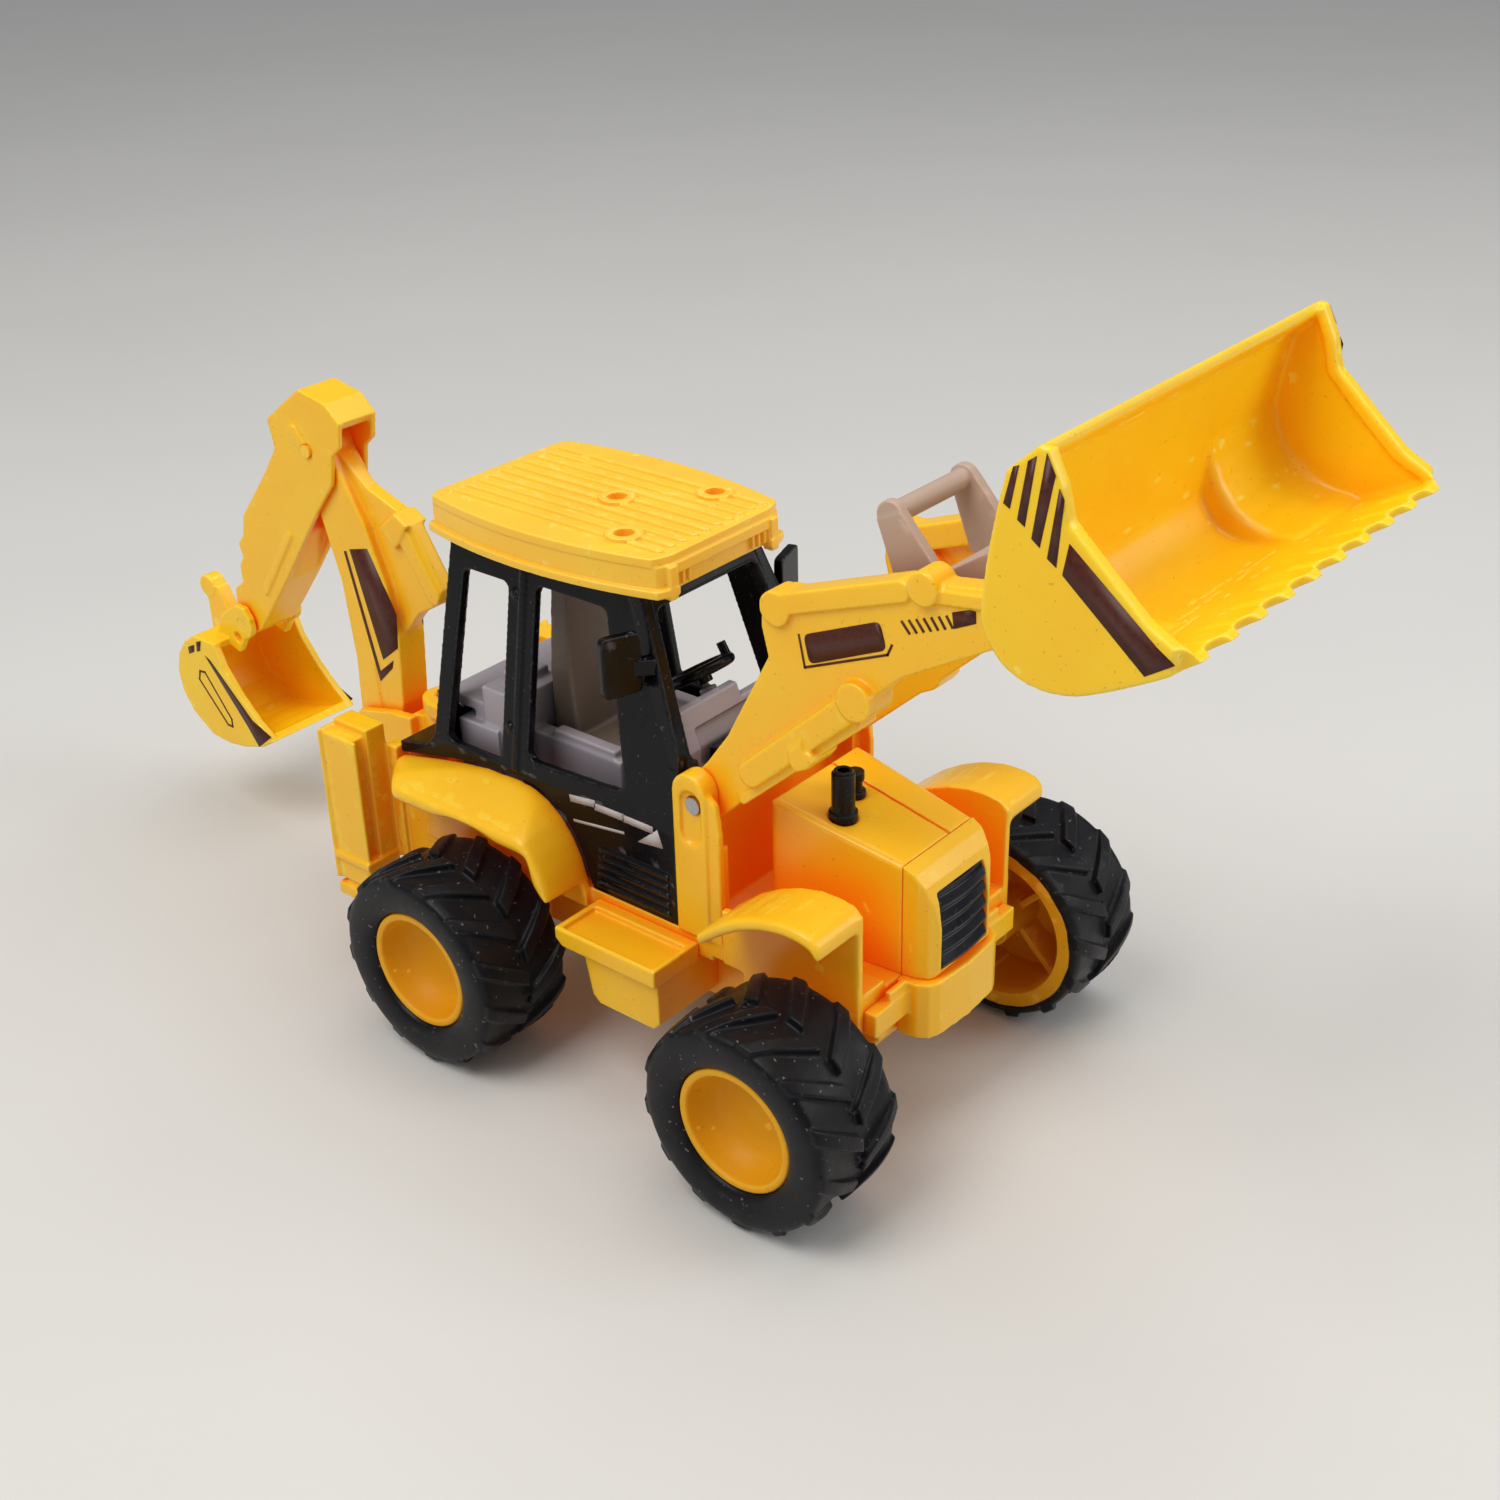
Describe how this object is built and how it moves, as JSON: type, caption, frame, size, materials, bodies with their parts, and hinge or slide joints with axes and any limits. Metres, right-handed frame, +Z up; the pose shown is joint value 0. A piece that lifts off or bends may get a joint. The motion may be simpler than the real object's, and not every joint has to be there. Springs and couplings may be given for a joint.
{
  "type": "toy backhoe loader",
  "caption": "Plastic toy tractor with a front loader bucket on lifting arms, an enclosed cab, lugged tyres on steel axles, and a swinging digging arm with stabilisers behind.",
  "frame": {"origin": "on the ground under the middle of the overall length and width, in the rest pose", "axes": "+X points to the front (loader bucket), +Y to the left side, +Z up"},
  "size_m": [0.2378, 0.0882, 0.1304],
  "materials": {
    "yellow_plastic": "moulded, semi-gloss",
    "black_plastic": "moulded, glossy",
    "grey_plastic": "moulded, satin",
    "warm_grey_plastic": "moulded, satin",
    "tyre_rubber": "soft moulded rubber",
    "steel": "ground rod"
  },
  "bodies": {
    "machine": {"chassis": "yellow_plastic", "body_shell": "yellow_plastic", "running_board_right": "yellow_plastic", "running_board_left": "yellow_plastic", "front_deck": "yellow_plastic", "hood": "yellow_plastic", "nose": "yellow_plastic", "grille": "black_plastic", "bumper": "yellow_plastic", "exhaust_pipe": "black_plastic", "precleaner": "black_plastic", "cab_frame": "black_plastic", "roof": "yellow_plastic", "cab_interior": "grey_plastic", "seat": "grey_plastic", "dashboard": "grey_plastic", "mirror_right": "black_plastic", "mirror_left": "black_plastic", "body_screws": "steel", "backhoe_frame": "yellow_plastic", "swing_pin": "steel"},
    "front_wheels": {"front_axle": "steel", "front_rim_right": "yellow_plastic", "front_rim_left": "yellow_plastic", "front_tyre_right": "tyre_rubber", "front_tyre_left": "tyre_rubber"},
    "rear_wheels": {"rear_axle": "steel", "rear_rim_right": "yellow_plastic", "rear_rim_left": "yellow_plastic", "rear_tyre_right": "tyre_rubber", "rear_tyre_left": "tyre_rubber"},
    "steering": {"steering_wheel": "black_plastic"},
    "loader": {"loader_arm_right": "yellow_plastic", "loader_arm_left": "yellow_plastic", "arm_cross_tube": "yellow_plastic", "loader_rod": "steel", "bucket_pin": "steel"},
    "bucket": {"loader_bucket": "yellow_plastic", "tilt_bracket": "warm_grey_plastic"},
    "swing": {"swing_post": "yellow_plastic", "boom_pin": "yellow_plastic"},
    "boom": {"boom": "yellow_plastic"},
    "dipper": {"dipper": "yellow_plastic", "knee_pin": "yellow_plastic"},
    "digging_bucket": {"digging_bucket": "yellow_plastic", "digging_bucket_pin": "yellow_plastic"},
    "stabiliser_right": {"stabiliser_leg_right": "yellow_plastic"},
    "stabiliser_left": {"stabiliser_leg_left": "yellow_plastic"}
  },
  "joints": [
    {"name": "front_axle_spin", "type": "hinge", "parent": "machine", "child": "front_wheels", "pos_m": [0.05585, 0, 0.018], "axis": [0, 1, 0], "continuous": true},
    {"name": "rear_axle_spin", "type": "hinge", "parent": "machine", "child": "rear_wheels", "pos_m": [-0.01215, 0, 0.018], "axis": [0, 1, 0], "continuous": true},
    {"name": "steering_turn", "type": "hinge", "parent": "machine", "child": "steering", "pos_m": [0.01472, 0, 0.0643], "axis": [-0.5299, 0, 0.848], "range_deg": [-170, 170]},
    {"name": "loader_lift", "type": "hinge", "parent": "machine", "child": "loader", "pos_m": [0.03015, 0, 0.0538], "axis": [0, 1, 0], "range_deg": [-10, 66]},
    {"name": "bucket_tilt", "type": "hinge", "parent": "loader", "child": "bucket", "pos_m": [0.08745, 0, 0.1], "axis": [0, 1, 0], "range_deg": [-35, 60]},
    {"name": "backhoe_swing", "type": "hinge", "parent": "machine", "child": "swing", "pos_m": [-0.04905, 0, 0.031], "axis": [0, 0, 1], "range_deg": [-55, 55]},
    {"name": "boom_pivot", "type": "hinge", "parent": "swing", "child": "boom", "pos_m": [-0.06625, 0, 0.0294], "axis": [0, 1, 0], "range_deg": [-38, 9]},
    {"name": "dipper_pivot", "type": "hinge", "parent": "boom", "child": "dipper", "pos_m": [-0.07425, 0, 0.0844], "axis": [0, 1, 0], "range_deg": [-6, 44]},
    {"name": "digging_bucket_pivot", "type": "hinge", "parent": "dipper", "child": "digging_bucket", "pos_m": [-0.10025, 0, 0.0434], "axis": [0, 1, 0], "range_deg": [-50, 45]},
    {"name": "stabiliser_right_slide", "type": "slide", "parent": "machine", "child": "stabiliser_right", "axis": [0, 0, -1], "range_m": [0, 0.01]},
    {"name": "stabiliser_left_slide", "type": "slide", "parent": "machine", "child": "stabiliser_left", "axis": [0, 0, -1], "range_m": [0, 0.01]}
  ]
}
